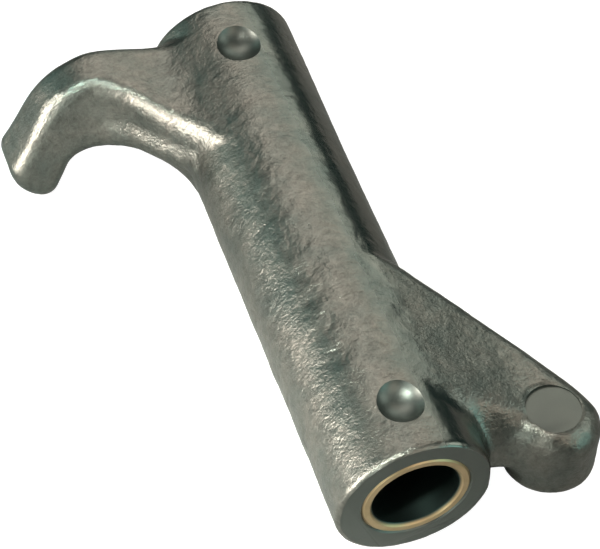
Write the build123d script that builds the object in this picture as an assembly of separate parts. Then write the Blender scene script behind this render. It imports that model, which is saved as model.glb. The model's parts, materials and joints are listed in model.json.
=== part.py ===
from build123d import *
import math
import os

# Tubular-barrel rocker arm: one steel forging carrying two pressed-in bronze bushings.
# Frame: origin on the bore axis at half the barrel length, +Y along the bore towards the
# valve arm, +Z up (the side with the two locating dimples), +X towards the pushrod arm.
# All lengths in mm, angles in degrees. Each arm is placed from its own end of the barrel.

# ---- barrel and bores -------------------------------------------------------
barrel_length = 96.2
barrel_radius = 12.3
barrel_edge_round = 0.7
housing_bore_radius = 8.73
shaft_bore_radius = 7.05
bushing_length = 22.2
bushing_inner_chamfer = 0.5
bushing_outer_chamfer = 0.3

# ---- locating dimples -------------------------------------------------------
near_dimple_from_end = 9.3
far_dimple_from_end = 10.0
dimple_ball_radius = 4.8
dimple_mouth_radius = 4.0

# ---- valve arm (far end, -X side) -------------------------------------------
valve_leave_angle = 25.0
valve_leave_run = 7.45
valve_crown_radius = 14.0
valve_pad_radius = 6.0
valve_tip_round = 2.8
valve_heel_round = 2.8
valve_throat_radius = 4.5
valve_outline_level = 8.5
valve_finger_width = 6.9
valve_end_gap = 0.6
valve_near_lean = (0.115, -0.23)
valve_ridge_round = 2.6
valve_far_round = 2.2

# ---- pushrod arm (near end, +X side) ----------------------------------------
boss_x = 24.8
boss_from_end = 6.0
boss_radius = 7.3
boss_rim_level = -8.1
boss_top_level = 4.75
boss_dome_round = 4.6
boss_rim_chamfer = 0.35
web_slope = 20.5
web_far_angle = 37.8
web_under_level = -4.6
shoulder_drop = 0.32
web_near_round = 1.5
web_far_round = 2.0
web_under_round = 1.5
spotface_back = 0.6
spotface_radius = 4.4
spotface_level = 4.5

# ---- pushrod socket and oil drilling ----------------------------------------
socket_ball_radius = 4.76
socket_ball_level = -6.5
socket_mouth_chamfer = 0.6
oil_hole_radius = 0.9
oil_hole_angle = 25.0
oil_hole_beside_boss = 2.4

half_length = barrel_length / 2
boss_y = boss_from_end - half_length
valve_far_side = half_length - valve_end_gap


def along_bore(face, y_from, y_to):
    """Sweep an X-Z outline along the bore from y_from to y_to."""
    plane = Plane(origin=(0, y_to, 0), x_dir=(1, 0, 0), z_dir=(0, -1, 0))
    return extrude(plane * face, amount=y_to - y_from)


def bore_cylinder(radius, y_from, y_to):
    return along_bore(Circle(radius), y_from, y_to)


def beside_barrel(angle, lift=0.0):
    """The X-Z point above the barrel's skin by lift, at an angle from the top towards +X."""
    turn = math.radians(angle)
    return ((barrel_radius + lift) * math.sin(turn), (barrel_radius + lift) * math.cos(turn))


def edge_at(shape, x, y, z):
    """The edge of a shape that passes nearest to a point."""
    return shape.edges().sort_by_distance((x, y, z))[0]


# ---- barrel -----------------------------------------------------------------
barrel = bore_cylinder(barrel_radius, -half_length, half_length)
barrel = fillet(barrel.edges().filter_by(GeomType.CIRCLE), barrel_edge_round)

# ---- valve arm --------------------------------------------------------------
# Side outline (X-Z): leaves the barrel on a tangent, runs level, then hooks down to the pad.
leave = beside_barrel(-valve_leave_angle)
leave_turn = math.radians(valve_leave_angle)
saddle = (leave[0] - valve_leave_run * math.cos(leave_turn), leave[1] - valve_leave_run * math.sin(leave_turn))
under_root = beside_barrel(-123.7, lift=0.32)
valve_outline = FilletPolyline(
    leave, saddle, (-28.9, 9.5), (-39.8, -8.0), (-38.3, -12.2), (-32.9, -14.6),
    (-28.9, -6.3), beside_barrel(-105.5, lift=0.9), under_root,
    radius=[12.0, valve_crown_radius, valve_tip_round, valve_pad_radius, valve_heel_round,
            valve_throat_radius, 2.5])
valve_side = make_face(valve_outline + Polyline(under_root, (-4.0, under_root[1]), leave))
valve_body = along_bore(valve_side, 0.0, half_length + 5.0)

# Plan outline (X-Y) at the level of the ridge: a wide root narrowing to a straight finger.
# The near flank leans outwards going down (forging draft), the far flank stays upright.
finger_near = valve_far_side - valve_finger_width
near_edge = FilletPolyline(
    (0.0, finger_near - 31.9), (-22.9, finger_near - 0.7), (-48.0, finger_near + 0.6), radius=13.0)
near_region = make_face(near_edge + Polyline(
    (-48.0, finger_near + 0.6), (-48.0, finger_near + 30.0), (0.0, finger_near + 30.0),
    (0.0, finger_near - 31.9)))
lean = Vector(valve_near_lean[0], valve_near_lean[1], -1.0)
near_top = Pos(0, 0, valve_outline_level) * near_region
near_prism = extrude(Location(lean * -9.0) * near_top, amount=37.0, dir=lean)
far_edge = FilletPolyline(
    (0.0, valve_far_side - 2.1), (-11.0, valve_far_side - 1.9), (-23.0, valve_far_side),
    (-48.0, valve_far_side), radius=[20.0, 20.0])
far_region = make_face(far_edge + Polyline(
    (-48.0, valve_far_side), (-48.0, -5.0), (0.0, -5.0), (0.0, valve_far_side - 2.1)))
far_prism = extrude(Plane.XY.offset(-20.0) * far_region, amount=40.0)
valve_arm = valve_body & near_prism & far_prism
valve_arm = fillet(edge_at(valve_arm, -36.5, finger_near - 1.8, -2.6), valve_ridge_round)
valve_arm = fillet(edge_at(valve_arm, -36.5, valve_far_side, -2.6), valve_far_round)

# ---- pushrod arm ------------------------------------------------------------
# Side outline (X-Z): the top is tangent to the barrel and slopes down to the boss.
slope = math.radians(web_slope)
web_tangent = beside_barrel(web_slope)
web_run = 17.3
web_knee = (web_tangent[0] + web_run * math.cos(slope), web_tangent[1] - web_run * math.sin(slope))
web_tip = (boss_x + 8.2, web_knee[1] - 1.45)
web_side = make_face(
    FilletPolyline(web_tangent, web_knee, web_tip, radius=14.0)
    + Polyline(web_tip, (web_tip[0], web_under_level), (4.0, web_under_level), (0.0, 9.0), web_tangent))
web_body = along_bore(web_side, -half_length - 2.0, 5.0)
tangent_angle = math.radians(web_far_angle)
boss_tangent = (boss_x + boss_radius * math.cos(tangent_angle), boss_y + boss_radius * math.sin(tangent_angle))
web_root_x = 2.0
web_root_y = boss_tangent[1] + (boss_tangent[0] - web_root_x) / math.tan(tangent_angle)
web_plan = make_face(Polyline(
    (web_root_x, boss_y - 8.0), (web_root_x, web_root_y), boss_tangent, (boss_x, boss_y),
    (boss_x, boss_y - 8.0), (web_root_x, boss_y - 8.0)))
web_prism = extrude(Plane.XY.offset(-20.0) * web_plan, amount=40.0)


def web_top_at(x):
    """The level of the web's sloping top."""
    return web_tangent[1] - (x - web_tangent[0]) * math.tan(slope)


# The near flank is a sloping plane between barrel end and boss.
flank_x = boss_x - 16.6
near_flank = Plane(
    origin=(flank_x, boss_y + 4.7, web_top_at(flank_x)), x_dir=(11.0, -4.6, -4.11), z_dir=(-0.229, -0.893, 0.387))
web = split(web_body & web_prism, bisect_by=near_flank, keep=Keep.BOTTOM)

boss_height = boss_top_level - boss_rim_level
boss = Pos(boss_x, boss_y, boss_rim_level) * extrude(Circle(boss_radius), amount=boss_height)
boss = fillet(boss.edges().filter_by(GeomType.CIRCLE).sort_by(Axis.Z)[-1], boss_dome_round)

# The far shoulder falls away towards the boss.
shoulder_x = boss_x - 13.8
shoulder_z = web_top_at(shoulder_x) - shoulder_drop
far_shoulder = Plane(
    origin=(shoulder_x, boss_y + 27.5, shoulder_z), x_dir=(19.6, -23.0, -8.1), z_dir=(0.680, 0.354, 0.642))
web = split(web, bisect_by=far_shoulder, keep=Keep.BOTTOM)
round_x = boss_x - 13.2
web = fillet(edge_at(web, round_x, boss_y + 3.3, web_top_at(round_x)), web_near_round)
web = fillet(edge_at(web, round_x, boss_y + 26.2, web_top_at(round_x)), web_far_round)
shoulder_foot = web_top_at(boss_x - 8.3) - 1.4
web = fillet(edge_at(web, boss_x - 8.3, boss_y + 22.6, shoulder_foot), web_far_round)
web = fillet(edge_at(web, boss_x - 7.5, boss_y + 21.6, web_under_level), web_under_round)
web = fillet(edge_at(web, boss_x - 10.4, boss_y - 3.24, web_under_level), web_under_round)
boss = split(boss, bisect_by=far_shoulder, keep=Keep.BOTTOM)
pushrod_arm = web + boss
forging = barrel + valve_arm + pushrod_arm

# ---- machining of the forging -----------------------------------------------
housing_bore = bore_cylinder(housing_bore_radius, -half_length - 1.0, half_length + 1.0)
forging = forging - housing_bore
dimple_level = barrel_radius + math.sqrt(dimple_ball_radius ** 2 - dimple_mouth_radius ** 2)
for dimple_y in (near_dimple_from_end - half_length, half_length - far_dimple_from_end):
    forging = forging - Pos(0, dimple_y, dimple_level) * Sphere(dimple_ball_radius)
spotface = Pos(boss_x - spotface_back, boss_y, spotface_level) * extrude(Circle(spotface_radius), amount=8.0)
forging = forging - spotface

# Pushrod socket: a short parallel mouth, then the ball seat.
socket_mouth = extrude(Circle(socket_ball_radius), amount=socket_ball_level - boss_rim_level + 1.0)
forging = forging - Pos(boss_x, boss_y, boss_rim_level - 1.0) * socket_mouth
forging = forging - Pos(boss_x, boss_y, socket_ball_level) * Sphere(socket_ball_radius)
mouth_edge = edge_at(forging, boss_x + socket_ball_radius, boss_y, boss_rim_level)
forging = chamfer(mouth_edge, socket_mouth_chamfer)
rim_edge = edge_at(forging, boss_x + boss_radius, boss_y, boss_rim_level)
forging = chamfer(rim_edge, boss_rim_chamfer)

# Oil drilling: enters through the socket mouth and runs up into the near end of the bore.
drill_dir = Vector(-math.cos(math.radians(oil_hole_angle)), 0, math.sin(math.radians(oil_hole_angle)))
drill_plane = Plane(origin=(boss_x + oil_hole_beside_boss, boss_y, boss_rim_level), x_dir=(0, 1, 0), z_dir=drill_dir)
oil_drill = extrude(drill_plane * Circle(oil_hole_radius), amount=24.0)
forging = forging - oil_drill


# ---- bushings ---------------------------------------------------------------
def bushing(y_from, y_to):
    ring = bore_cylinder(housing_bore_radius, y_from, y_to)
    ring = chamfer(ring.edges().filter_by(GeomType.CIRCLE), bushing_outer_chamfer)
    ring = ring - bore_cylinder(shaft_bore_radius, y_from, y_to)
    inner = [e for e in ring.edges().filter_by(GeomType.CIRCLE) if abs(e.radius - shaft_bore_radius) < 0.01]
    return chamfer(inner, bushing_inner_chamfer)


pushrod_end_bushing = bushing(-half_length, -half_length + bushing_length) - oil_drill
valve_end_bushing = bushing(half_length - bushing_length, half_length)

os.makedirs("parts", exist_ok=True)
for name, shape in (
    ("rocker_arm", forging),
    ("pushrod_end_bushing", pushrod_end_bushing),
    ("valve_end_bushing", valve_end_bushing),
):
    solid = shape.solids()[0]
    export_step(solid, "parts/" + name + ".step")
    print(name, round(solid.volume, 1), "mm3", len(shape.solids()), "solid", shape.is_valid)
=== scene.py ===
import json
import math
import bmesh
import bpy
import numpy as np
from mathutils import Matrix, Vector, noise


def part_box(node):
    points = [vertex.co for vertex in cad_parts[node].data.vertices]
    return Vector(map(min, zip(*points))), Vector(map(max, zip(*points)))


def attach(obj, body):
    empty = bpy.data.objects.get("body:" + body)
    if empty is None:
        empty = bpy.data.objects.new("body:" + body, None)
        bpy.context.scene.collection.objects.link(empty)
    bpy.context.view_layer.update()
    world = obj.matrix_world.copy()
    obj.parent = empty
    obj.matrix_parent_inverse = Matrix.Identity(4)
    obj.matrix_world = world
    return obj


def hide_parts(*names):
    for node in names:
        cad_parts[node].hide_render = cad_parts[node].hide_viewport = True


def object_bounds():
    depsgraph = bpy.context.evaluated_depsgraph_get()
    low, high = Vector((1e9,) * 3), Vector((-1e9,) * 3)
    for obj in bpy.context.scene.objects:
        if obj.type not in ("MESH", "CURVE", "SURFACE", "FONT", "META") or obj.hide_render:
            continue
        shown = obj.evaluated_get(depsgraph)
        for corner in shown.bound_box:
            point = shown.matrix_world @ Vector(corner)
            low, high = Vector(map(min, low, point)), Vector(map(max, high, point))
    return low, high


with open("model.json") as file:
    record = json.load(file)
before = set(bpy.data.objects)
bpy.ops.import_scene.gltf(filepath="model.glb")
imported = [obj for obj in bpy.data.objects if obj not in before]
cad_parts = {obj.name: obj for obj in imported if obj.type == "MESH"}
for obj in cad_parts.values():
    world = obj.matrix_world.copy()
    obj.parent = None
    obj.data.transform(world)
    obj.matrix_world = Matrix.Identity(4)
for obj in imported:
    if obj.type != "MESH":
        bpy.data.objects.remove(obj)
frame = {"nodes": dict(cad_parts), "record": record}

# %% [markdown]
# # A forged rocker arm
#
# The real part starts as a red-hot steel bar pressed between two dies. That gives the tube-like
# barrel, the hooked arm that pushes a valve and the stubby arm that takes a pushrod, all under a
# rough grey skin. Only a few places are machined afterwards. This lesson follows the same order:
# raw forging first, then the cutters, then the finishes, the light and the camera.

MM = 0.001
cad_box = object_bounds()
print("CAD box in mm:", [[round(value / MM, 2) for value in corner] for corner in cad_box])

# %% [markdown]
# ## The sizes that the machining needs
#
# The forging, its bores and its seats share one set of sizes. They could be typed in again, but
# then they would drift from the solid model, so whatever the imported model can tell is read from
# it. The few that it can't tell, such as the depth of a chamfer, are named here in millimetres.

# %% Sizes from the frame
bushing_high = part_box("pushrod_end_bushing")[1]
far_bushing_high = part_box("valve_end_bushing")[1]
arm_low, arm_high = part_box("rocker_arm")
half_length = far_bushing_high.y
housing_radius = bushing_high.x
barrel_radius = arm_high.z
mounts = {mount["name"]: mount for mount in frame["record"]["mounts"]}
socket_centre = Vector(mounts["pushrod_socket"]["pos_m"])
boss_centre = Vector((socket_centre.x, socket_centre.y, 0))
boss_radius = arm_high.x - boss_centre.x
print("barrel radius", round(barrel_radius / MM, 2), "half length", round(half_length / MM, 2),
      "housing bore radius", round(housing_radius / MM, 2), "boss radius", round(boss_radius / MM, 2))

# %% Sizes of the cuts, in millimetres
barrel_edge_round = 0.7
housing_mouth_chamfer = 0.28
dimple_ball_radius = 4.8
dimple_mouth_radius = 4.0
near_dimple_from_end = 9.3
far_dimple_from_end = 10.0
boss_rim_level = -8.1
spotface_back = 0.6
spotface_radius = 4.4
spotface_level = 4.5
socket_ball_radius = 4.76
socket_mouth_chamfer = 0.6
oil_hole_radius = 0.9
oil_hole_angle = 25.0
oil_hole_beside_boss = 2.4
dimple_ball_above_mouth = math.sqrt(dimple_ball_radius ** 2 - dimple_mouth_radius ** 2)
print("dimple depth", round(dimple_ball_radius - dimple_ball_above_mouth, 2), "mm, spot face across",
      2 * spotface_radius, "mm")

# %% [markdown]
# ## Turned shapes
#
# Drills, ball mills and plugs are all round, so one helper makes them. It takes a profile of
# radius and height pairs, as a lathe hand would sketch it, and spins it into a closed mesh. A
# Screw modifier would do the same, but plain vertex rings keep every tool watertight, and the
# boolean cuts later need that.

# %% The lathe helper
def turned(name, profile, centre, axis=(0, 0, 1), sides=128):
    """A closed round mesh from (radius, height) pairs in mm; the ends are closed with a disc."""
    spin = Vector((0, 0, 1)).rotation_difference(Vector(axis))
    points = []
    for radius, height in profile:
        for side in range(sides):
            angle = 2 * math.pi * side / sides
            local = Vector((radius * math.cos(angle), radius * math.sin(angle), height)) * MM
            points.append(Vector(centre) + spin @ local)
    faces = [tuple(reversed(range(sides)))]
    for ring in range(len(profile) - 1):
        for side in range(sides):
            here, after = ring * sides + side, ring * sides + (side + 1) % sides
            faces.append((here, after, after + sides, here + sides))
    faces.append(tuple(range((len(profile) - 1) * sides, len(profile) * sides)))
    mesh = bpy.data.meshes.new(name)
    mesh.from_pydata(points, [], faces)
    mesh.update()
    return mesh


def ball_profile(radius, steps=48, pole=0.02):
    """A ball's profile for the lathe, from pole to pole, with a pinhole-sized flat at each end."""
    angles = [math.pi * step / steps for step in range(1, steps)]
    rounds = [(radius * math.sin(angle), -radius * math.cos(angle)) for angle in angles]
    return [(pole, -radius)] + rounds + [(pole, radius)]


# %% [markdown]
# ## The raw forging
#
# Before any drill has touched it, the forging is one solid lump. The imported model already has
# its bores, so plugs fill them, and a voxel remesh then melts model and plugs into one even skin
# of small quads. The even skin matters: it can be smoothed and roughened by vertex moves, which
# the long thin triangles of a CAD mesh can't.

# %% Plugs for the bore, the dimples and the socket
half = half_length / MM
plug_radius = barrel_radius / MM
plug_edge = plug_radius - barrel_edge_round
stands_out = 0.3  # how far a plug sticks out of the model, so that facing cuts a clean end
edge_start = half - 0.2
plug_side = plug_radius - 0.01  # just under the barrel's own surface
round_start = half - barrel_edge_round
barrel_plug = turned("barrel plug", [
    (plug_edge, -half - stands_out), (plug_edge, -edge_start), (plug_side, -round_start),
    (plug_side, round_start), (plug_edge, edge_start), (plug_edge, half + stands_out),
], (0, 0, 0), axis=(0, 1, 0))
boss_plug_radius, boss_plug_top = boss_radius / MM - 0.9, -1.0
boss_plug = turned("boss plug", [
    (boss_plug_radius, boss_rim_level - stands_out), (boss_plug_radius, boss_plug_top),
], boss_centre)

# %% A crown for the spot face to be cut from
spot_centre = boss_centre - Vector((spotface_back * MM, 0, 0))
boss_crown = turned("boss crown", [
    (6.2, -1.0), (6.0, 2.0), (5.5, 3.7), (4.8, 4.6), (0.02, 4.7),
], spot_centre)
print("plugs:", barrel_plug.name, boss_plug.name, boss_crown.name, "of",
      len(barrel_plug.polygons) + len(boss_plug.polygons) + len(boss_crown.polygons), "faces")

# %% [markdown]
# ## The filled corner beside the boss
#
# On the real arm the near flank of the pushrod arm flows into its round boss without a corner. The
# solid model meets there in a crease. A convex hull round a few corner points is the quickest
# lump to put in it: the remesh melts it in, and the blends further down take its edges off.

# %% A fill between the near flank and the boss
def hull_of(name, corners):
    """The smallest closed solid round a few corner points in mm."""
    sheet = bmesh.new()
    for corner in corners:
        sheet.verts.new(Vector(corner) * MM)
    bmesh.ops.convex_hull(sheet, input=sheet.verts)
    mesh = bpy.data.meshes.new(name)
    sheet.to_mesh(mesh)
    sheet.free()
    return mesh


flank_fill = hull_of("flank fill", [
    (10.2, -38.3, 7.6), (18.6, -42.2, 4.2), (21.0, -46.7, 1.2), (20.0, -47.1, -2.5), (20.0, -47.1, -4.6),
    (11.2, -40.8, -4.6), (11.4, -36.0, -4.6), (24.8, -42.1, -4.6), (24.8, -42.1, 1.0)])
print("flank fill:", len(flank_fill.vertices), "corners", len(flank_fill.polygons), "faces")

# %% One skin from the model and its plugs
VOXEL = 0.42 * MM


def object_from(mesh, name):
    made = bpy.data.objects.new(name, mesh)
    bpy.context.scene.collection.objects.link(made)
    return made


def baked_mesh(made, name):
    """The mesh that an object shows once its modifiers have run."""
    graph = bpy.context.evaluated_depsgraph_get()
    mesh = bpy.data.meshes.new_from_object(made.evaluated_get(graph))
    mesh.name = name
    return mesh


def joined(name, meshes):
    """Several meshes put into one, side by side, without merging anything."""
    points, faces = [], []
    for mesh in meshes:
        start = len(points)
        points += [vertex.co.copy() for vertex in mesh.vertices]
        faces += [tuple(start + index for index in face.vertices) for face in mesh.polygons]
    mesh = bpy.data.meshes.new(name)
    mesh.from_pydata(points, [], faces)
    return mesh


cad_arm = frame["nodes"]["rocker_arm"].data
lump = object_from(joined("lump", [cad_arm, barrel_plug, boss_plug, boss_crown, flank_fill]), "lump")
melt = lump.modifiers.new("melt", "REMESH")
melt.mode = "VOXEL"
melt.voxel_size = VOXEL
skin = baked_mesh(lump, "raw forging")
bpy.data.objects.remove(lump)
print("raw forging:", len(skin.vertices), "points", len(skin.polygons), "faces")

# %% [markdown]
# ## Smoothing without shrinking
#
# The voxel grid leaves faint steps. Plain smoothing would wipe them away but also shrink the
# arm, so each smoothing step is followed by a slightly larger step the other way. Steps are
# high-frequency and die; the shape itself is low-frequency and stays.

# %% Even out the voxel steps
def points_of(mesh):
    flat = np.empty(len(mesh.vertices) * 3, np.float32)
    mesh.vertices.foreach_get("co", flat)
    return flat.reshape(-1, 3).astype(float)


def normals_of(mesh):
    flat = np.empty(len(mesh.vertices) * 3, np.float32)
    mesh.vertex_normals.foreach_get("vector", flat)
    return flat.reshape(-1, 3).astype(float)


def put_points(mesh, points):
    mesh.vertices.foreach_set("co", points.astype(np.float32).ravel())
    mesh.update()


class Neighbours:
    """Each point's neighbours along the mesh edges, for averages over the skin."""

    def __init__(self, mesh):
        flat = np.empty(len(mesh.edges) * 2, np.int32)
        mesh.edges.foreach_get("vertices", flat)
        self.first, self.second = flat.reshape(-1, 2).T
        self.count = len(mesh.vertices)
        self.degree = np.bincount(flat, minlength=self.count).clip(1)

    def mean(self, values):
        columns = values.reshape(self.count, -1)
        total = [np.bincount(self.first, column[self.second], self.count)
                 + np.bincount(self.second, column[self.first], self.count) for column in columns.T]
        return (np.array(total).T / self.degree[:, None]).reshape(values.shape)


around = Neighbours(skin)
points = points_of(skin)
rough_points = points
smooth_rounds, inward_pull, outward_pull = 10, 0.5, -0.53
for step in range(smooth_rounds):
    for pull in (inward_pull, outward_pull):
        points = points + pull * (around.mean(points) - points)
put_points(skin, points)
print("smoothing moved points by", round(np.linalg.norm(points - rough_points, axis=1).mean() / MM, 3),
      "mm on average")

# %% [markdown]
# ## Blends where the arms leave the barrel
#
# A die can't hold a knife-sharp inner corner: steel flows into it as a soft hollow. A fillet
# tool would need clean edges, and here three doubly curved surfaces meet. So the hollows are
# grown like fillets laid with a ball: wherever the skin is more sharply hollow than the ball,
# points creep outwards until the ball fits. Ridges that are sharper than a second ball creep
# inwards the same way, as a worn die leaves them. Flat places don't move at all.

# %% Balls of different sizes along runs
def near_run(points, start, end, reach):
    """1 on the line from start to end (mm), fading smoothly to 0 at a distance of reach."""
    first, last = np.array(start) * MM, np.array(end) * MM
    along = ((points - first) @ (last - first) / ((last - first) @ (last - first))).clip(0, 1)
    away = np.linalg.norm(points - first - along[:, None] * (last - first), axis=1)
    fade = (1 - away / (reach * MM)).clip(0, 1)
    return fade * fade * (3 - 2 * fade)


def sizes_with_runs(points, general, runs):
    """The ball that each point's blend is laid with: the general one, or a larger one near a run."""
    ball = np.full(len(points), general)
    for start, end, reach, radius in runs:
        ball = np.maximum(ball, general + (radius - general) * near_run(points, start, end, reach))
    return ball


# Each run: its start and end in mm, its reach, and the ball's radius in the middle of it.
hollow_ball = 1.6
hollow_runs = [
    ((10.5, -47.0, 6.5), (9.5, -37.0, 8.5), 8.5, 13.0),
    ((12.6, -40.7, 5.9), (14.0, -45.0, -3.0), 8.0, 14.0),
    ((20.0, -47.5, -7.0), (20.0, -46.5, 4.0), 9.0, 12.0),
    ((-11.4, 46.0, 5.0), (-13.0, 44.0, -2.0), 6.0, 3.0),
    ((-13.0, 16.0, 0.0), (-12.0, 24.0, 4.0), 8.0, 6.0),
    ((14.0, -14.0, -2.0), (9.0, -11.0, 9.0), 7.0, 3.0),
]
ridge_ball = 0.7
ridge_runs = [
    ((31.5, -38.5, 0.5), (28.5, -35.5, 2.5), 7.5, 7.0),
    ((9.0, -37.8, 9.2), (19.5, -42.6, 4.6), 5.0, 4.5),
    ((22.0, -47.2, 0.5), (30.0, -45.5, 0.5), 5.0, 5.0),
    ((-13.5, 27.0, 6.6), (-24.0, 38.7, 6.8), 5.0, 5.0),
    ((-24.0, 38.7, 6.8), (-31.0, 39.0, 3.0), 5.0, 5.0),
    ((-9.6, 21.8, 7.2), (-13.0, 26.5, 5.8), 6.5, 9.0),
]

# %% Let the blends grow
blend_steps, steps_per_normal = 1100, 8
calm_ends = 2.0  # mm at each barrel end where no ridge is taken off, because facing follows there
edge_ends = points[around.first] - points[around.second]
edge_square = (edge_ends ** 2).sum(1)
spacing_square = (np.bincount(around.first, edge_square, around.count)
                  + np.bincount(around.second, edge_square, around.count)) / around.degree
allowed_hollow = spacing_square / (4 * MM * sizes_with_runs(points, hollow_ball, hollow_runs))
allowed_ridge = spacing_square / (4 * MM * sizes_with_runs(points, ridge_ball, ridge_runs))
off_ends = (half_length - np.abs(points[:, 1])) / MM > calm_ends
before_blend = points.copy()
for step in range(blend_steps):
    if step % steps_per_normal == 0:
        put_points(skin, points)
        normals = normals_of(skin)
    bend = ((around.mean(points) - points) * normals).sum(1)
    out = (bend - allowed_hollow).clip(0) - (-bend - allowed_ridge).clip(0) * off_ends
    points = points + 0.5 * out[:, None] * normals
put_points(skin, points)

# %% Soften the filled corner
soft_run = ((14.0, -43.5, 0.5), (20.8, -46.8, -1.0), 6.5)
soft_steps = 140
soft = near_run(points, *soft_run)[:, None]
for step in range(soft_steps):
    points = points + 0.5 * soft * (around.mean(points) - points)
put_points(skin, points)
moved = ((points - before_blend) * normals).sum(1)
print("deepest blend fill:", round(moved.max() / MM, 2), "mm, most taken off a ridge:",
      round(-moved.min() / MM, 2), "mm")

# %% [markdown]
# ## The lip under the hook's side
#
# Where two dies meet, the side of a forging turns outwards into a small lip. On this arm it runs
# along the lower edge of the hooked arm's inner side and catches a second line of light. A few
# tenths of a millimetre of outward push along a line make it; modelling it as a separate ledge
# would give it edges that pressed steel doesn't have.

# %% Push out the lip
lip_height, lip_reach = 0.9, 3.6
outward = np.array((-0.8, -0.6, 0.0))
lip_bend = (-14.0, 26.2, 0.6)
lip_runs = [((-22.0, 37.0, -1.2), lip_bend), (lip_bend, (-13.2, 24.0, 1.4))]
lip = np.max([near_run(points, start, end, lip_reach) for start, end in lip_runs], axis=0)
faces_out = (normals_of(skin) @ outward).clip(0, 1)
points = points + (lip_height * MM * lip * faces_out)[:, None] * outward
put_points(skin, points)
print("points on the lip:", int((lip > 0.5).sum()))

# %% [markdown]
# ## The fuller sides
#
# The two dies of a forging hammer never close in perfect register, and the lower one wears more.
# So the barrel is a little fuller below and to the left, most of all at the near end, and the far
# shoulders of both arms and the under side of the hook are fuller too. Each is a push along a
# direction, faded out by how far the skin faces it. A scaled or moved barrel would carry its bores
# along, and those are drilled true.

# %% Push the skin out along a direction
def pushed(points, amounts, direction):
    """The points moved along a direction by amounts in mm, less where the skin faces away from it."""
    towards = np.array(direction) / np.linalg.norm(direction)
    facing = (normals_of(skin) @ towards).clip(0, 1)
    points = points + (amounts * MM * facing)[:, None] * towards
    put_points(skin, points)
    return points


# %% The barrel's fuller sides
before_push = points
barrel_share = near_run(points, (0.0, -50.0, 0.0), (0.0, 40.0, 0.0), 26.0).clip(0, 0.5) * 2
near_end_start, near_end_length = 30.0, 78.0
towards_near_end = ((near_end_start * MM - points[:, 1]) / (near_end_length * MM)).clip(0, 1)
points = pushed(points, barrel_share * (0.25 + 0.65 * towards_near_end), (-0.75, 0.0, -0.65))
points = pushed(points, barrel_share * 0.55 * towards_near_end, (0.6, 0.0, -0.8))
far_end_start, far_end_length = 15.0, 33.0
towards_far_end = ((points[:, 1] - far_end_start * MM) / (far_end_length * MM)).clip(0, 1)
points = pushed(points, barrel_share * 0.5 * towards_far_end, (0.95, 0.0, 0.3))

# %% The arms' fuller sides
web_shoulder = near_run(points, (9.0, -16.0, 5.0), (27.0, -37.0, 3.0), 9.0)
points = pushed(points, 0.7 * web_shoulder, (0.6, 0.7, 0.4))
hook_shoulder = near_run(points, (-33.0, 46.0, 1.0), (-16.0, 46.0, 8.0), 8.0)
points = pushed(points, 0.45 * hook_shoulder, (-0.5, 0.6, 0.6))
hook_throat = (-26.0, 40.0, -2.0)
under_hook = np.maximum(near_run(points, (-36.0, 42.0, -9.0), hook_throat, 9.0),
                        near_run(points, hook_throat, (-15.0, 28.0, -2.0), 8.0))
points = pushed(points, 0.5 * under_hook, (0.45, -0.75, -0.5))
print("most pushed out:", round(np.linalg.norm(points - before_push, axis=1).max() / MM, 2), "mm")

# %% [markdown]
# ## The hammered skin
#
# Scale flakes off hot steel and leaves shallow pits, and the die leaves slow waves. Anything
# wider than about a millimetre is real relief here, made by moving points along their normals;
# the finer grain follows in the material. The barrel ends and the valve pad rub in use and in
# the jigs, so the relief fades out there.

# %% Waves, pits and wrinkles, in millimetres
wave_size, wave_depth = 4.0, 0.28
cloud_size, cloud_depth = 3.0, 0.065
pit_size, pit_depth = 1.2, 0.05
wrinkle_size, wrinkle_depth, wrinkle_width = 2.4, 0.13, 0.08
wrinkle_bend, wrinkle_bend_size = 0.8, 3.0
across_stretch = 1.6
wave_place = Vector((3.1, 0.4, 8.2))
cloud_place = Vector((9.7, 5.3, 2.6))
wrinkle_place = Vector((7.3, 1.9, 4.1))


def relief_at(point, hammered):
    """How far the skin stands out at a point, in mm; hammered is 1 where the die left deep waves."""
    place = Vector(point) / MM
    squeezed = Vector((place.x / across_stretch, place.y, place.z / across_stretch))
    wave = noise.noise(squeezed / wave_size + wave_place) * wave_depth * hammered
    cloud = noise.noise(place / cloud_size + cloud_place) * cloud_depth
    pits = noise.fractal(squeezed / pit_size, 0.9, 2.1, 2) * pit_depth
    # Blender offsets noise_vector by the clock when it starts, so every run bends the wrinkles a
    # little differently, by wrinkle_depth at most. A call of noise.seed_set would pin them.
    bent = squeezed + wrinkle_bend * noise.noise_vector(place / wrinkle_bend_size)
    crease = abs(noise.noise(bent / wrinkle_size + wrinkle_place))
    wrinkle = -max(0.0, wrinkle_width - crease) / wrinkle_width * wrinkle_depth
    return wave + cloud + pits + wrinkle * (0.3 + 0.7 * hammered)


# %% Where the skin is rough
# Each run: its start and end in mm, its reach, and the strength in the middle of it.
rough_runs = [
    ((-4.0, -26.0, 11.0), (-4.0, 20.0, 11.0), 11.0, 1.0),
    ((-12.0, -34.0, 0.0), (-12.0, 20.0, 0.0), 13.0, 0.7),
    ((6.0, -14.0, 10.0), (17.0, -30.0, 6.0), 13.0, 0.6),
    ((-7.0, 36.0, 10.0), (-26.0, 41.0, 6.0), 14.0, 0.6),
]
smooth_skin = 0.25
worn_end_length = 8.0


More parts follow.
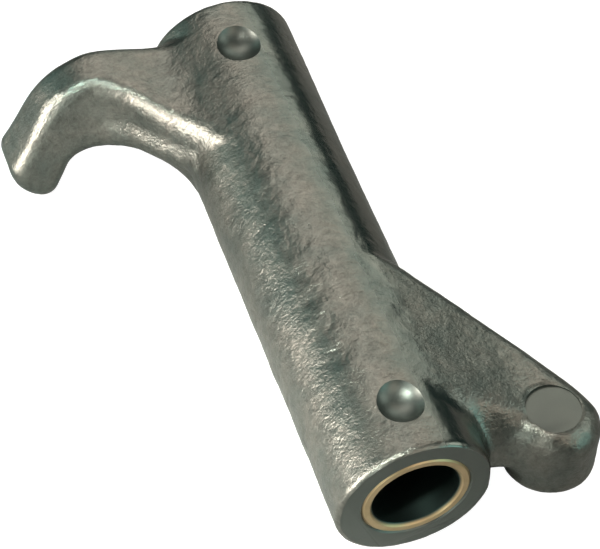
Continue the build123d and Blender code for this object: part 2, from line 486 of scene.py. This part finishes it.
def hammered_share(points):
    """How deep the die's waves and wrinkles are over the skin, from 0 to 1."""
    share = np.full(len(points), smooth_skin)
    for start, end, reach, strength in rough_runs:
        share = np.maximum(share, strength * near_run(points, start, end, reach))
    tip = near_run(points, (-36.6, 39.0, -11.0), (-36.6, 47.3, -11.0), 8.0)
    boss = near_run(points, (24.8, -42.1, -6.0), (24.8, -42.1, 4.0), 10.0)
    from_end = (half_length - np.abs(points[:, 1])) / MM
    off_end = 0.2 + 0.8 * (from_end / worn_end_length).clip(0, 1)
    return share * (1 - 0.9 * tip) * (1 - 0.7 * boss) * off_end


# %% Roughen the skin, but not past the model's own box
sunk = 0.1  # the skin is sunk by this many mm where it is roughest, so that its peaks stay in the box
hammered = hammered_share(points)
relief = np.array([relief_at(point, depth) for point, depth in zip(points, hammered)])
relief = relief * (0.45 + 0.55 * hammered) - sunk * hammered
normals = normals_of(skin)
points = np.clip(points + (relief * MM)[:, None] * normals, np.array(cad_box[0]), np.array(cad_box[1]))
put_points(skin, points)
print("relief from", round(relief.min(), 3), "to", round(relief.max(), 3), "mm")

# %% [markdown]
# ## Machining
#
# Now the real cuts, in the order of a shop: both ends faced, the housing bore drilled, the two
# locating dimples sunk with a ball, the spot above the pushrod faced, the ball seat formed and
# the oil way drilled. Each tool is a boolean cut, and its faces bring their own material, so cut
# metal is bright and crisp against the skin. Sculpting these by hand would never be truly round.

# %% The cutting tools
overrun = 1.0  # how far a tool reaches past the surface it cuts
facing_radius, facing_depth = plug_radius + 1.8, 4.0


def facing_tool(end):
    """A disc that cuts one barrel end flat; end is -1 for the near one and 1 for the far one."""
    start, stop = sorted((end * half, end * (half + facing_depth)))
    return turned("facing", [(facing_radius, start), (facing_radius, stop)], (0, 0, 0), axis=(0, 1, 0))


bore = housing_radius / MM
lead = housing_mouth_chamfer + overrun
bore_drill = turned("bore drill", [
    (bore + lead, -half - overrun), (bore, -half + housing_mouth_chamfer),
    (bore, half - housing_mouth_chamfer), (bore + lead, half + overrun),
], (0, 0, 0), axis=(0, 1, 0))
dimple_level = plug_radius + dimple_ball_above_mouth
dimple_balls = [
    turned("dimple ball", ball_profile(dimple_ball_radius), Vector((0, dimple_y, dimple_level)) * MM)
    for dimple_y in (near_dimple_from_end - half, half - far_dimple_from_end)]
spot_cutter_top = 12.0
spot_cutter = turned("spot cutter", [(spotface_radius, spotface_level), (spotface_radius, spot_cutter_top)],
                     spot_centre)

# %% The tools for the boss
seat_level = socket_centre.z / MM
upper_half_ball = [(radius, seat_level + height) for radius, height in ball_profile(socket_ball_radius)
                   if height > 0.01]
seat_tool = turned("seat tool", [
    (socket_ball_radius + socket_mouth_chamfer + overrun, boss_rim_level - overrun),
    (socket_ball_radius, boss_rim_level + socket_mouth_chamfer),
    (socket_ball_radius, seat_level), *upper_half_ball], boss_centre)
oil_drill_length = 24.0
drill_angle = math.radians(oil_hole_angle)
oil_drill = turned("oil drill", [(oil_hole_radius, 0.0), (oil_hole_radius, oil_drill_length)],
                   boss_centre + Vector((oil_hole_beside_boss, 0, boss_rim_level)) * MM,
                   axis=(-math.cos(drill_angle), 0, math.sin(drill_angle)), sides=40)
tools = [facing_tool(-1), facing_tool(1), bore_drill, *dimple_balls, spot_cutter, seat_tool, oil_drill]
print("cutting tools:", [tool.name for tool in tools])

# %% Run the cuts
CUT_FACE = 1  # a face's place in the list of two materials: 0 is forged skin, 1 is machined steel
forging = object_from(skin, "rocker_arm_forging")
forged_skin = bpy.data.materials.new("forged skin")
machined_steel = bpy.data.materials.new("machined steel")
for mesh in [skin, *tools]:
    mesh.materials.append(forged_skin)
    mesh.materials.append(machined_steel)
cutters = []
for tool in tools:
    tool.polygons.foreach_set("material_index", [CUT_FACE] * len(tool.polygons))
    cutter = object_from(tool, tool.name)
    cut = forging.modifiers.new(tool.name, "BOOLEAN")
    cut.operation = "DIFFERENCE"
    cut.solver = "MANIFOLD"
    cut.object = cutter
    cutters.append(cutter)
machined = baked_mesh(forging, "rocker_arm_forging")
forging.modifiers.clear()
forging.data = machined
for cutter in cutters:
    bpy.data.objects.remove(cutter)
print("machined forging:", len(machined.vertices), "points", len(machined.polygons), "faces",
      "cut faces", sum(face.material_index == CUT_FACE for face in machined.polygons))

# %% Smooth shading with crisp machined edges
crisp_angle = math.radians(32)
machined.polygons.foreach_set("use_smooth", [True] * len(machined.polygons))
sheet = bmesh.new()
sheet.from_mesh(machined)
for edge in sheet.edges:
    if len(edge.link_faces) == 2:
        was_cut = any(face.material_index == CUT_FACE for face in edge.link_faces)
        edge.smooth = not was_cut or edge.calc_face_angle(0) < crisp_angle
print("crisp edges:", sum(not edge.smooth for edge in sheet.edges))
sheet.to_mesh(machined)
sheet.free()
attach(forging, "root")
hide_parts("rocker_arm")

# %% [markdown]
# ## Node helpers
#
# Every finish below is a small graph of shader nodes. Building one by hand in the editor is the
# same work, click by click. These helpers only save typing: one adds a node, one fills in its
# sockets, and one turns a number from 0 to 1 into a grey between two stops.

# %% Short ways to write nodes
def add(tree, kind, **settings):
    """A new node with its settings, such as an operation or a data type."""
    node = tree.nodes.new(kind)
    for name, value in settings.items():
        setattr(node, name, value)
    return node


def fill(node, **values):
    """The same node with values in its sockets; Far_End stands for the socket named Far End."""
    for name, value in values.items():
        node.inputs[name.replace("_", " ")].default_value = value
    return node


def grey_ramp(tree, source, low_stop, high_stop):
    """Greys between two (position, grey) stops, picked by the source."""
    node = add(tree, "ShaderNodeValToRGB")
    for element, (position, grey) in zip(node.color_ramp.elements, (low_stop, high_stop)):
        element.position = position
        element.color = (grey, grey, grey, 1.0)
    tree.links.new(source, node.inputs["Fac"])
    return node.outputs["Color"]


# %% [markdown]
# ## Oily staining, shared by every metal here
#
# A used or freshly oiled part is never one colour: a thin uneven film darkens and cools it in
# patches. All three metals carry that film, so it is one node group with its own sockets, and
# each metal gives it a size, two tints and a strength.

# %% How a node group is made
def group(name, inputs, outputs):
    """An empty group with named sockets: its tree, what it is given and what it puts out."""
    tree = bpy.data.node_groups.new(name, "ShaderNodeTree")
    for kind, label, value in inputs:
        socket = tree.interface.new_socket(label, in_out="INPUT", socket_type=kind)
        socket.default_value = value
    for kind, label in outputs:
        tree.interface.new_socket(label, in_out="OUTPUT", socket_type=kind)
    return tree, tree.nodes.new("NodeGroupInput").outputs, tree.nodes.new("NodeGroupOutput").inputs


# %% The staining group
stain_tree, given, result = group("oily_staining", [
    ("NodeSocketFloat", "Patches per metre", 120.0),
    ("NodeSocketColor", "Dry tint", (0.3, 0.3, 0.28, 1)),
    ("NodeSocketColor", "Oily tint", (0.15, 0.16, 0.15, 1)),
    ("NodeSocketFloat", "Strength", 1.0),
], [("NodeSocketColor", "Tint"), ("NodeSocketFloat", "Oil")])
place = add(stain_tree, "ShaderNodeTexCoord").outputs["Object"]
patches = fill(add(stain_tree, "ShaderNodeTexNoise"), Detail=5.0, Roughness=0.6, Distortion=0.4)
stain_tree.links.new(place, patches.inputs["Vector"])
stain_tree.links.new(given["Patches per metre"], patches.inputs["Scale"])
spread = fill(add(stain_tree, "ShaderNodeMapRange"), From_Min=0.35, From_Max=0.65)
stain_tree.links.new(patches.outputs["Fac"], spread.inputs["Value"])
amount = add(stain_tree, "ShaderNodeMath", operation="MULTIPLY")
stain_tree.links.new(spread.outputs["Result"], amount.inputs[0])
stain_tree.links.new(given["Strength"], amount.inputs[1])
blend = add(stain_tree, "ShaderNodeMix", data_type="RGBA")
stain_tree.links.new(amount.outputs[0], blend.inputs[0])
stain_tree.links.new(given["Dry tint"], blend.inputs[6])
stain_tree.links.new(given["Oily tint"], blend.inputs[7])
stain_tree.links.new(blend.outputs[2], result["Tint"])
stain_tree.links.new(amount.outputs[0], result["Oil"])
print("oily staining:", len(stain_tree.nodes), "nodes")

# %% [markdown]
# ## The forged skin
#
# Hot-forged steel, blasted with shot and oiled, is a satin grey with pits a few tenths of a
# millimetre wide. The grain is a bump, because it is far finer than the mesh. The pits hold oil, so
# the same noise that sinks them also darkens them. The free side of the barrel is rubbed smoother.

# %% Metals and their film of oil
def metal(material):
    """The node tree and the shader of a material that is plain metal so far."""
    material.use_nodes = True
    tree = material.node_tree
    shader = tree.nodes["Principled BSDF"]
    shader.inputs["Metallic"].default_value = 1.0
    return tree, shader


def stained(tree, patches, dry, oily, strength):
    """The staining group placed in a material with its own values."""
    node = add(tree, "ShaderNodeGroup", node_tree=stain_tree)
    node.inputs["Patches per metre"].default_value = patches
    node.inputs["Dry tint"].default_value = (*dry, 1)
    node.inputs["Oily tint"].default_value = (*oily, 1)
    node.inputs["Strength"].default_value = strength
    return node


# %% Grain of the forged skin
tree, shader = metal(forged_skin)
film = stained(tree, 150.0, (0.228, 0.222, 0.20), (0.15, 0.168, 0.155), 0.8)
place = add(tree, "ShaderNodeTexCoord").outputs["Object"]
drawn = add(tree, "ShaderNodeMapping")
drawn.inputs["Scale"].default_value = (0.8, 1.0, 0.8)
tree.links.new(place, drawn.inputs["Vector"])
grain = fill(add(tree, "ShaderNodeTexNoise"), Scale=2600.0, Detail=3.0, Roughness=0.6, Distortion=0.2)
tree.links.new(drawn.outputs["Vector"], grain.inputs["Vector"])
fleck = fill(add(tree, "ShaderNodeTexNoise"), Scale=900.0, Detail=2.0, Roughness=0.5, Distortion=0.2)
tree.links.new(drawn.outputs["Vector"], fleck.inputs["Vector"])
rough_grain = add(tree, "ShaderNodeMix", data_type="FLOAT")
rough_grain.inputs[0].default_value = 0.5
tree.links.new(grain.outputs["Fac"], rough_grain.inputs[2])
tree.links.new(fleck.outputs["Fac"], rough_grain.inputs[3])

# %% Where the barrel's free side is rubbed smooth
across_axis = add(tree, "ShaderNodeVectorMath", operation="MULTIPLY")
across_axis.inputs[1].default_value = (1.0, 0.0, 1.0)
tree.links.new(place, across_axis.inputs[0])
from_axis = add(tree, "ShaderNodeVectorMath", operation="LENGTH")
tree.links.new(across_axis.outputs["Vector"], from_axis.inputs[0])
on_barrel = fill(add(tree, "ShaderNodeMapRange"),
                 From_Min=barrel_radius + 0.6 * MM, From_Max=barrel_radius + 0.1 * MM)
tree.links.new(from_axis.outputs["Value"], on_barrel.inputs["Value"])
sides = add(tree, "ShaderNodeSeparateXYZ")
tree.links.new(place, sides.inputs["Vector"])
free_side = fill(add(tree, "ShaderNodeMapRange"), From_Min=0.5 * MM, From_Max=5.0 * MM)
tree.links.new(sides.outputs["X"], free_side.inputs["Value"])
rubbed = add(tree, "ShaderNodeMath", operation="MULTIPLY")
tree.links.new(on_barrel.outputs["Result"], rubbed.inputs[0])
tree.links.new(free_side.outputs["Result"], rubbed.inputs[1])

# %% Grain, dark hollows and gloss of the forged skin
height = add(tree, "ShaderNodeMix", data_type="FLOAT")
height.inputs[3].default_value = 0.5
flattened = fill(add(tree, "ShaderNodeMapRange"), To_Max=0.75)
tree.links.new(rubbed.outputs[0], flattened.inputs["Value"])
tree.links.new(flattened.outputs["Result"], height.inputs[0])
tree.links.new(rough_grain.outputs[0], height.inputs[2])
bump = fill(add(tree, "ShaderNodeBump"), Strength=0.8, Distance=0.00024)
tree.links.new(height.outputs[0], bump.inputs["Height"])
tree.links.new(bump.outputs["Normal"], shader.inputs["Normal"])
dark = add(tree, "ShaderNodeMix", data_type="RGBA", blend_type="MULTIPLY")
dark.inputs[0].default_value = 0.6
tree.links.new(film.outputs["Tint"], dark.inputs[6])
tree.links.new(grey_ramp(tree, height.outputs[0], (0.34, 0.5), (0.6, 1.1)), dark.inputs[7])
tree.links.new(dark.outputs[2], shader.inputs["Base Color"])
gloss = fill(add(tree, "ShaderNodeMapRange"), From_Min=0.0, From_Max=1.0, To_Min=0.37, To_Max=0.30)
tree.links.new(film.outputs["Oil"], gloss.inputs["Value"])
polished = add(tree, "ShaderNodeMix", data_type="FLOAT")
polished.inputs[3].default_value = 0.24
tree.links.new(rubbed.outputs[0], polished.inputs[0])
tree.links.new(gloss.outputs["Result"], polished.inputs[2])
tree.links.new(polished.outputs[0], shader.inputs["Roughness"])
print("forged skin:", len(tree.nodes), "nodes")

# %% [markdown]
# ## Tool marks, shared by the cut metals
#
# A cutter leaves fine rings round the shaft, and handling adds scuffs. Steel and bronze both carry
# them, so they are a second group, which gives a height for the bump.

# %% The tool-mark group
marks_tree, given, result = group("tool_marks", [
    ("NodeSocketFloat", "Lines per metre", 3000.0),
    ("NodeSocketFloat", "Unevenness", 0.5),
], [("NodeSocketFloat", "Height")])
place = add(marks_tree, "ShaderNodeTexCoord").outputs["Object"]
turning = add(marks_tree, "ShaderNodeTexWave", wave_type="RINGS", rings_direction="Y")
fill(turning, Distortion=1.5, Detail=2.0)
marks_tree.links.new(place, turning.inputs["Vector"])
marks_tree.links.new(given["Lines per metre"], turning.inputs["Scale"])
scuffs = fill(add(marks_tree, "ShaderNodeTexNoise"), Scale=2500.0, Detail=3.0, Roughness=0.6)
marks_tree.links.new(place, scuffs.inputs["Vector"])
both = add(marks_tree, "ShaderNodeMix", data_type="FLOAT")
marks_tree.links.new(given["Unevenness"], both.inputs[0])
marks_tree.links.new(turning.outputs["Fac"], both.inputs[2])
marks_tree.links.new(scuffs.outputs["Fac"], both.inputs[3])
marks_tree.links.new(both.outputs[0], result["Height"])
print("tool marks:", len(marks_tree.nodes), "nodes")


# %% Tool marks on a metal
def with_tool_marks(tree, shader, lines, unevenness, depth):
    """Give a metal the marks as a bump of a depth in metres."""
    marks = add(tree, "ShaderNodeGroup", node_tree=marks_tree)
    marks.inputs["Lines per metre"].default_value = lines
    marks.inputs["Unevenness"].default_value = unevenness
    bump = fill(add(tree, "ShaderNodeBump"), Strength=0.4, Distance=depth)
    tree.links.new(marks.outputs["Height"], bump.inputs["Height"])
    tree.links.new(bump.outputs["Normal"], shader.inputs["Normal"])


# %% [markdown]
# ## Machined steel and bronze
#
# Cut steel has the same metal under the same film of oil, but no scale and no pits, so it is a
# plainer colour with only fine tool marks. It comes into view in the dimples, on the end faces and
# on the spot above the pushrod. The bushings are bearing bronze. Their face shines, while the
# wall of the bore is painted near-black, as painted shade inside the bore together with old oil,
# so the colour changes with the distance from the shaft.

# %% Machined steel
tree, shader = metal(machined_steel)
film = stained(tree, 200.0, (0.145, 0.16, 0.148), (0.12, 0.135, 0.127), 0.4)
tree.links.new(film.outputs["Tint"], shader.inputs["Base Color"])
shader.inputs["Roughness"].default_value = 0.42
with_tool_marks(tree, shader, 700.0, 0.8, 0.00001)
print("machined steel:", len(tree.nodes), "nodes")

# %% Bronze of the bushings
bronze = bpy.data.materials.new("bushing bronze")
tree, shader = metal(bronze)
film = stained(tree, 300.0, (0.56, 0.42, 0.25), (0.46, 0.34, 0.19), 0.6)
around_shaft = add(tree, "ShaderNodeVectorMath", operation="MULTIPLY")
around_shaft.inputs[1].default_value = (1.0, 0.0, 1.0)
tree.links.new(add(tree, "ShaderNodeTexCoord").outputs["Object"], around_shaft.inputs[0])
from_axis = add(tree, "ShaderNodeVectorMath", operation="LENGTH")
tree.links.new(around_shaft.outputs["Vector"], from_axis.inputs[0])
bore_radius = mounts["shaft_bore"]["dims"]["r_mm"] * MM
# Painted shade: the bore wall inside the bushing gets a near-black teal that stands in for the shade in the
# bore, together with old oil.
bore_shade_and_oil = fill(add(tree, "ShaderNodeMapRange"),
             From_Min=bore_radius + 0.05 * MM, From_Max=bore_radius + 0.35 * MM)
tree.links.new(from_axis.outputs["Value"], bore_shade_and_oil.inputs["Value"])
# The near-black teal below is painted shade and old oil on the bore wall; the face keeps the bronze tint.
wall = add(tree, "ShaderNodeMix", data_type="RGBA")
wall.inputs[6].default_value = (0.05, 0.075, 0.07, 1)
tree.links.new(bore_shade_and_oil.outputs["Result"], wall.inputs[0])
tree.links.new(film.outputs["Tint"], wall.inputs[7])
tree.links.new(wall.outputs[2], shader.inputs["Base Color"])
shader.inputs["Roughness"].default_value = 0.42
with_tool_marks(tree, shader, 900.0, 0.5, 0.00002)

# %% Put the bronze on both bushings
for name in ("pushrod_end_bushing", "valve_end_bushing"):
    bushing = frame["nodes"][name]
    bushing.data.materials.clear()
    bushing.data.materials.append(bronze)
    print(name, "has", len(bushing.data.polygons), "faces of", bronze.name)

# %% [markdown]
# ## The paper floor
#
# The arm lies on a sheet of pale paper in soft light. A metal shows what is around it, so the paper
# matters twice: as the background and as what the lower sides mirror. White paper would mirror far
# too bright on the shaded side. So the paper itself is grey, and a glow that only camera rays meet
# lifts it to white. A brighter lamp instead would wash out the metal as well.

# %% The pale floor
floor_level = arm_low.z
floor_reach = 1.5
floor_corners = [(-floor_reach, -floor_reach, floor_level), (floor_reach, -floor_reach, floor_level),
                 (floor_reach, floor_reach, floor_level), (-floor_reach, floor_reach, floor_level)]
floor_mesh = bpy.data.meshes.new("studio floor")
floor_mesh.from_pydata(floor_corners, [], [(0, 1, 2, 3)])
floor = object_from(floor_mesh, "studio_floor")

# %% The paper of the floor
paper_grey, paper_glow = 0.3, 0.95
paper = bpy.data.materials.new("pale paper")
paper.use_nodes = True
paper_shader = paper.node_tree.nodes["Principled BSDF"]
fill(paper_shader, Roughness=0.9)
paper_shader.inputs["Base Color"].default_value = (paper_grey, paper_grey, paper_grey, 1)
paper_shader.inputs["Emission Color"].default_value = (1, 1, 1, 1)
glow = fill(add(paper.node_tree, "ShaderNodeMapRange"), From_Min=0.0, From_Max=1.0, To_Min=0.0,
            To_Max=paper_glow)
seen = add(paper.node_tree, "ShaderNodeLightPath")
paper.node_tree.links.new(seen.outputs["Is Camera Ray"], glow.inputs["Value"])
paper.node_tree.links.new(glow.outputs["Result"], paper_shader.inputs["Emission Strength"])
floor_mesh.materials.append(paper)
print("floor level", round(floor_level / MM, 2), "mm")

# %% [markdown]
# ## Soft lamps
#
# Rough metal shows each lamp as a soft patch where the surface tips halfway between the lamp and
# the eye. A single big softbox would give one flat sheen. A ring of small round ones, each with its
# own strength and warmth, gives the bright left flank, the dark band beside the crest and the line
# of light along the hook. The strengths were found by trying, lamp by lamp.

# %% How a softbox is hung
LAMP_DISTANCE = 0.8


def hang(name, lamp, place, target):
    """Put a lamp in the studio and turn it towards a point."""
    made = bpy.data.objects.new(name, lamp)
    made.location = place
    made.rotation_euler = (target - place).to_track_quat("-Z", "Y").to_euler()
    bpy.context.scene.collection.objects.link(made)
    return made


def softbox(name, direction, brightness, tint, width=0.42):
    """A round soft lamp that looks at the middle of the arm; brightness is what its face shows."""
    lamp = bpy.data.lights.new(name, "AREA")
    lamp.shape = "DISK"
    lamp.size = width
    lamp.energy = math.pi * brightness * math.pi * (width / 2) ** 2
    lamp.color = tint
    return hang(name, lamp, Vector(direction).normalized() * LAMP_DISTANCE, Vector((0, 0, 0)))


# %% The softboxes, from low on the left round to the ceiling
warm = (1.0, 0.91, 0.82)
rosy = (1.0, 0.82, 0.68)
neutral = (0.93, 1.0, 0.9)
cool = (0.55, 1.0, 0.92)
softbox("low left window", (-0.98, 0.0, 0.21), 23.0, warm)
softbox("low left front", (-0.69, -0.69, 0.21), 2.6, neutral)
softbox("low left back", (-0.69, 0.69, 0.21), 0.7, cool)
softbox("low right front", (0.69, -0.69, 0.21), 1.8, cool)
softbox("right wall", (0.85, -0.2, 0.48), 2.2, neutral)
softbox("back right wall", (0.59, 0.59, 0.56), 1.5, neutral)
softbox("back left wall", (-0.59, 0.59, 0.56), 0.2, cool)
softbox("front lamp", (0.21, -0.8, 0.56), 1.8, rosy)
softbox("stripe lamp", (0.47, -0.55, 0.68), 1.2, warm, width=0.34)
softbox("back right ceiling", (0.45, 0.33, 0.83), 0.9, rosy)
softbox("back ceiling", (0.14, 0.57, 0.81), 1.8, warm)
softbox("back window", (0.25, 0.87, 0.42), 1.2, neutral, width=0.3)
softbox("back left ceiling", (-0.17, 0.53, 0.83), 1.9, warm)
softbox("bend lamp", (-0.35, -0.35, 0.87), 8.0, warm, width=0.24)
print("softboxes:", len(bpy.data.lights))

# %% [markdown]
# ## Pools of light on the paper
#
# The lower left sides mirror the paper beside the arm. Three spot lamps light just those places of
# it. Their light mostly misses the arm, so they act like the glow of a window on a table. A trace of
# blue-green air fills what no lamp reaches. The Standard view keeps the white of the paper white.

# %% How a pool is lit
SPOT_DISTANCE = 0.6
towards_spot = Vector((-0.45, -0.25, 0.857))


def floor_spot(name, x, y, pool_radius, watts, tint):
    """A spot lamp from the upper left that lights a round pool on the floor; sizes in mm."""
    lamp = bpy.data.lights.new(name, "SPOT")
    lamp.energy = watts
    lamp.color = tint
    lamp.spot_size = 2 * math.atan(pool_radius * MM / SPOT_DISTANCE)
    lamp.spot_blend = 0.9
    lamp.shadow_soft_size = 0.04
    pool = Vector((x * MM, y * MM, floor_level))
    return hang(name, lamp, pool + towards_spot * SPOT_DISTANCE, pool)


# %% The pools and the air
floor_spot("pool beside the barrel", -42, -22, 50, 66.0, neutral)
floor_spot("pool behind the hook", -70, 65, 45, 26.0, cool)
floor_spot("pool in front", 0, -80, 35, 9.0, neutral)
world = bpy.data.worlds.new("studio air")
world.use_nodes = True
air = world.node_tree.nodes["Background"]
air.inputs["Color"].default_value = (0.35, 0.9, 0.85, 1)
air.inputs["Strength"].default_value = 0.06
bpy.context.scene.world = world
bpy.context.scene.view_settings.view_transform = "Standard"
print("lamps in all:", len(bpy.data.lights))

# %% [markdown]
# ## The camera
#
# A long lens from a little over 40 cm away, above the near end, keeps the barrel's edges nearly
# parallel. The camera is placed by its three axes, because they fix the roll together with the
# direction of view, which a Track To constraint would leave to chance.

# %% Camera
camera_place = Vector((-105.153, -256.534, 337.608)) * MM
camera_right = Vector((0.94406, -0.32734, 0.0399)).normalized()
camera_forward = Vector((0.23555, 0.5847, -0.7763)).normalized()
camera_up = camera_right.cross(camera_forward)
lens = bpy.data.cameras.new("camera")
lens.lens = 163.078
lens.sensor_width = 36.0
lens.sensor_fit = "HORIZONTAL"
lens.clip_start = 0.01
lens.clip_end = 10.0
camera = bpy.data.objects.new("camera", lens)
turn = Matrix((camera_right, camera_up, -camera_forward)).transposed()
camera.matrix_world = Matrix.Translation(camera_place) @ turn.to_4x4()
bpy.context.scene.collection.objects.link(camera)
bpy.context.scene.camera = camera
print("camera", round(camera_place.length / MM), "mm away, looking down at",
      round(math.degrees(math.asin(-camera_forward.z)), 1), "degrees")
